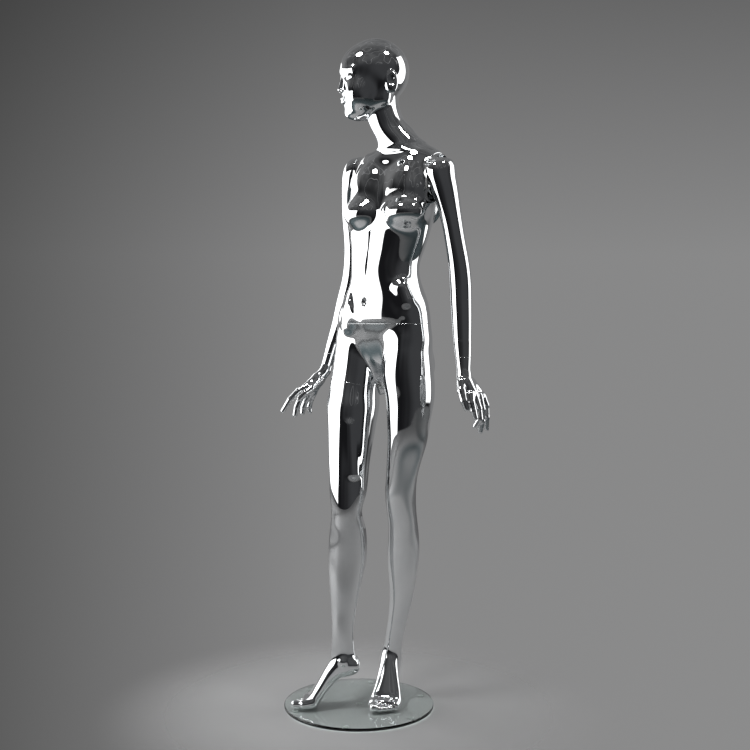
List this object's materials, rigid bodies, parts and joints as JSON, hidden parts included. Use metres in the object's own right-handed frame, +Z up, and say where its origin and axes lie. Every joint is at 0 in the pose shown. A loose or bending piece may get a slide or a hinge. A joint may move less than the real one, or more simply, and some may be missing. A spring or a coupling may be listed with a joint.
{
  "type": "full body mannequin",
  "caption": "Standing chrome display figure with lift-off torso, arms, hands and leg, held by a rod on a round glass base.",
  "frame": {"origin": "on the floor, under the centre of the round glass plate", "axes": "+Z up; the figure faces -Y and its left side is +X"},
  "size_m": [0.5756, 0.4, 1.7615],
  "materials": {
    "chrome_skin": "mirror chrome plating over moulded shells, polished without grain",
    "chrome_rod": "polished chrome",
    "steel_fitting": "turned and lightly brushed steel",
    "closing_board": "smooth grey board",
    "nylon": "natural nylon, satin",
    "base_glass": "clear toughened glass with a polished edge, faint green tint",
    "clear_rubber": "clear soft plastic"
  },
  "bodies": {
    "base": {"glass_plate": "base_glass", "base_flange": "steel_fitting", "flange_gasket": "clear_rubber", "support_rod": "chrome_rod", "clamp_bolt": "steel_fitting", "clamp_washer": "clear_rubber", "bumper_1": "clear_rubber", "bumper_2": "clear_rubber", "bumper_3": "clear_rubber", "bumper_4": "clear_rubber", "bumper_5": "clear_rubber", "bumper_6": "clear_rubber", "bumper_7": "clear_rubber"},
    "lower_body": {"lower_body_shell": "chrome_skin", "waist_board_lower": "closing_board", "waist_socket": "steel_fitting", "thigh_board_body": "closing_board", "thigh_socket": "steel_fitting", "thigh_bush": "nylon", "foot_socket_tube": "steel_fitting"},
    "waist_lock": {"waist_bush": "nylon"},
    "upper_body": {"upper_body_shell": "chrome_skin", "waist_board_upper": "closing_board", "waist_post": "steel_fitting", "left_shoulder_board_body": "closing_board", "left_shoulder_socket": "steel_fitting", "right_shoulder_board_body": "closing_board", "right_shoulder_socket": "steel_fitting"},
    "right_leg": {"right_leg_shell": "chrome_skin", "thigh_board_leg": "closing_board", "thigh_post": "steel_fitting"},
    "left_shoulder_lock": {"left_shoulder_bush": "nylon"},
    "left_arm": {"left_arm_shell": "chrome_skin", "left_shoulder_board_arm": "closing_board", "left_shoulder_post": "steel_fitting", "left_wrist_board": "closing_board", "left_wrist_socket": "steel_fitting"},
    "left_wrist_lock": {"left_wrist_bush": "nylon"},
    "left_hand_body": {"left_hand": "chrome_skin", "left_wrist_post": "steel_fitting"},
    "right_shoulder_lock": {"right_shoulder_bush": "nylon"},
    "right_arm": {"right_arm_shell": "chrome_skin", "right_shoulder_board_arm": "closing_board", "right_shoulder_post": "steel_fitting", "right_wrist_board": "closing_board", "right_wrist_socket": "steel_fitting"},
    "right_wrist_lock": {"right_wrist_bush": "nylon"},
    "right_hand_body": {"right_hand": "chrome_skin", "right_wrist_post": "steel_fitting"}
  },
  "joints": [
    {"name": "lift_off_rod", "type": "slide", "parent": "base", "child": "lower_body", "axis": [0, 0, 1], "range_m": [0, 0.09]},
    {"name": "waist_turn", "type": "hinge", "parent": "lower_body", "child": "waist_lock", "pos_m": [0.052, 0.042, 1.0257], "axis": [0, 0, 1], "range_deg": [-30, 0]},
    {"name": "waist_lift", "type": "slide", "parent": "waist_lock", "child": "upper_body", "axis": [0, 0, 1], "range_m": [0, 0.06]},
    {"name": "right_leg_turn", "type": "hinge", "parent": "lower_body", "child": "right_leg", "pos_m": [-0.042, 0.027, 0.879], "axis": [0.2419, 0, 0.9703], "range_deg": [-25, 0]},
    {"name": "left_shoulder_turn", "type": "hinge", "parent": "upper_body", "child": "left_shoulder_lock", "pos_m": [0.216, 0.049, 1.409], "axis": [-0.9945, 0, 0.1045], "range_deg": [-20, 120]},
    {"name": "left_arm_pull", "type": "slide", "parent": "left_shoulder_lock", "child": "left_arm", "axis": [0.9945, 0, -0.1045], "range_m": [0, 0.045]},
    {"name": "left_wrist_turn", "type": "hinge", "parent": "left_arm", "child": "left_wrist_lock", "pos_m": [0.29475, 0.06074, 0.94], "axis": [0.1171, -0.0747, -0.9903], "range_deg": [-60, 60]},
    {"name": "left_hand_pull", "type": "slide", "parent": "left_wrist_lock", "child": "left_hand_body", "axis": [0.1171, -0.0747, -0.9903], "range_m": [0, 0.028], "stiffness_N_per_m": 3000},
    {"name": "right_shoulder_turn", "type": "hinge", "parent": "upper_body", "child": "right_shoulder_lock", "pos_m": [-0.036, 0.055, 1.415], "axis": [-0.9945, 0, 0.1045], "range_deg": [-5, 60]},
    {"name": "right_arm_pull", "type": "slide", "parent": "right_shoulder_lock", "child": "right_arm", "axis": [-0.9945, 0, 0.1045], "range_m": [0, 0.045]},
    {"name": "right_wrist_turn", "type": "hinge", "parent": "right_arm", "child": "right_wrist_lock", "pos_m": [-0.14909, 0.05401, 0.94], "axis": [-0.2276, -0.2768, -0.9336], "range_deg": [-60, 60]},
    {"name": "right_hand_pull", "type": "slide", "parent": "right_wrist_lock", "child": "right_hand_body", "axis": [-0.2276, -0.2768, -0.9336], "range_m": [0, 0.028], "stiffness_N_per_m": 3000}
  ]
}
